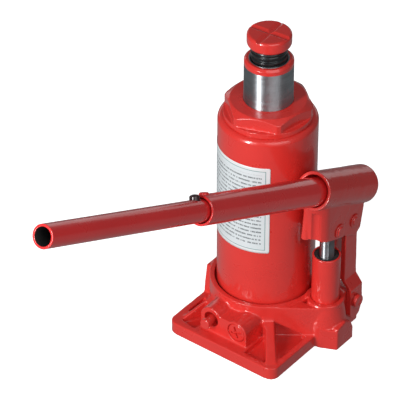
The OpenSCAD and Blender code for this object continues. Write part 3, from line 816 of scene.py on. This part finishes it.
def label_material():
    """Pale film with a thin border and rows of generic dashes, placed by the label's own u and v."""
    film, tree, shader = new_material("label_film")
    uv = add(tree, "ShaderNodeUVMap").outputs["UV"]
    parts = add(tree, "ShaderNodeSeparateXYZ", {"Vector": uv})
    u, v = parts.outputs["X"], parts.outputs["Y"]      # both in millimetres

    def math_node(kind, a, b=0.0):
        return add(tree, "ShaderNodeMath", {0: a, 1: b}, operation=kind).outputs[0]

    def step(value, start, end):
        return add(tree, "ShaderNodeMapRange", {"Value": value, 1: start, 2: end}).outputs[0]

    def between(value, lo, hi, soft=0.06):
        down = add(tree, "ShaderNodeMapRange",
                   {"Value": value, 1: hi - soft, 2: hi + soft, 3: 1.0, 4: 0.0})
        return math_node("MULTIPLY", step(value, lo - soft, lo + soft), down.outputs[0])

    def inside(margin_u, margin_v):
        return math_node("MULTIPLY", between(u, margin_u, width - margin_u),
                         between(v, margin_v, height - margin_v))

    width, height = LABEL_SIZE
    core = inside(3.5, 3.1)
    border = math_node("SUBTRACT", inside(3.0, 2.6), core)

    row_height = 3.3
    rows = math_node("DIVIDE", v, row_height)
    line = between(math_node("FRACT", rows), 0.30, 0.66, 0.05)
    across = add(tree, "ShaderNodeCombineXYZ", {
        "X": math_node("MULTIPLY", u, 0.85),
        "Y": math_node("MULTIPLY", math_node("FLOOR", rows), 7.31)}).outputs[0]
    dash = step(noise_of(tree, across, 1.0, 1.0), 0.40, 0.46)
    breaks = step(noise_of(tree, uv, 2.2, 2.0), 0.36, 0.52)
    field = math_node("MULTIPLY", between(u, 5.5, width - 6.0), between(v, 6.0, height - 6.0))
    ink = math_node("MULTIPLY", math_node("MULTIPLY", line, dash),
                    math_node("MULTIPLY", breaks, field))

    paper = mix(tree, core, (0.82, 0.83, 0.84), (0.75, 0.80, 0.82))
    paper = mix(tree, border, paper, (0.20, 0.36, 0.36))
    where = object_coords(tree)
    stain = ramp(tree, noise_of(tree, where, 90, 3), [(0.4, grey(0.0)), (0.8, grey(0.15))])
    paper = mix(tree, stain, paper, (0.60, 0.64, 0.63))
    colour = mix(tree, math_node("MULTIPLY", ink, 0.95), paper, (0.05, 0.06, 0.07))
    tree.links.new(colour, shader.inputs["Base Color"])
    rough = ramp(tree, noise_of(tree, where, 400, 3), [(0.3, grey(0.30)), (0.7, grey(0.42))])
    tree.links.new(rough, shader.inputs["Roughness"])
    normal = bump(tree, noise_of(tree, where, 300, 2), 0.00002, 0.4)
    tree.links.new(normal, shader.inputs["Normal"])
    return film


def build_label():
    bottom = low("label").z
    width, height = LABEL_SIZE
    across, up = 150, 60
    u, v = np.meshgrid(np.linspace(0, 1, across + 1), np.linspace(0, 1, up + 1))
    x, y = u * width, v * height
    # the ends are drawn in at the rounded corners
    edge = np.minimum(x, width - x)
    drop = LABEL_CORNER - np.sqrt(np.maximum(LABEL_CORNER**2 - (LABEL_CORNER - edge) ** 2, 0))
    squeeze = np.where(edge < LABEL_CORNER, drop, 0)
    y = squeeze + v * (height - 2 * squeeze)
    angle = LABEL_FROM + x / LABEL_RADIUS

    def sheet(radius):
        points = np.stack([radius * np.cos(angle), radius * np.sin(angle), bottom + y], -1)
        return points.reshape(-1, 3)

    points = np.concatenate([sheet(LABEL_RADIUS), sheet(LABEL_RADIUS - LABEL_FILM)])
    row = across + 1
    half = row * (up + 1)
    faces = []
    for i in range(up):
        for k in range(across):
            a = i * row + k
            faces.append((a, a + 1, a + row + 1, a + row))
            faces.append((half + a, half + a + row, half + a + row + 1, half + a + 1))
    rim = list(range(row))
    rim += [i * row + across for i in range(1, up + 1)]
    rim += [up * row + k for k in range(across - 1, -1, -1)]
    rim += [i * row for i in range(up - 1, 0, -1)]
    for a, b in zip(rim, rim[1:] + rim[:1]):
        faces.append((a, half + a, half + b, b))
    obj = mesh_object("label", points, faces, [label_material()])
    layer = obj.data.uv_layers.new(name="UVMap")
    flat = np.stack([x.ravel(), y.ravel()], -1)
    flat = np.concatenate([flat, flat])
    corners = np.zeros(len(obj.data.loops), int)
    obj.data.loops.foreach_get("vertex_index", corners)
    layer.data.foreach_set("uv", flat[corners].ravel())
    stands_for(obj, "label")


# the pieces that stay hidden keep their CAD mesh and get a finish
NODE_FINISH = {
    "inner_cylinder": "plain_steel", "ram_stop_ring": "plain_steel",
    "extension_stop_ring": "plain_steel", "button_spring": "plain_steel",
    "release_ball": "plain_steel", "relief_screw": "plain_steel",
    "relief_spring": "plain_steel", "relief_ball": "plain_steel",
    "suction_ball": "plain_steel", "discharge_ball": "plain_steel",
    "discharge_spring": "plain_steel", "discharge_screw": "plain_steel",
    "tank_top_oring": "rubber", "tank_gasket": "rubber", "cylinder_gasket": "rubber",
    "ram_cup_seal": "rubber", "pump_gasket": "rubber", "piston_oring": "rubber",
    "release_oring": "rubber", "socket_pin_rings": "black_oxide",
    "link_pin_ring": "black_oxide", "ram_backup_ring": "nylon", "suction_cage": "brass",
}


def finish_inner_nodes():
    for node, finish in NODE_FINISH.items():
        data = frame["nodes"][node].data
        data.materials.clear()
        data.materials.append(MATERIALS[finish])


make_camera()
make_studio()
build_base()
build_tank()
build_nut()
build_ram()
build_screw()
build_saddle()
build_pump()
build_clevis()
build_links()
build_handle()
build_valves()
build_label()
finish_inner_nodes()

bpy.context.view_layer.update()
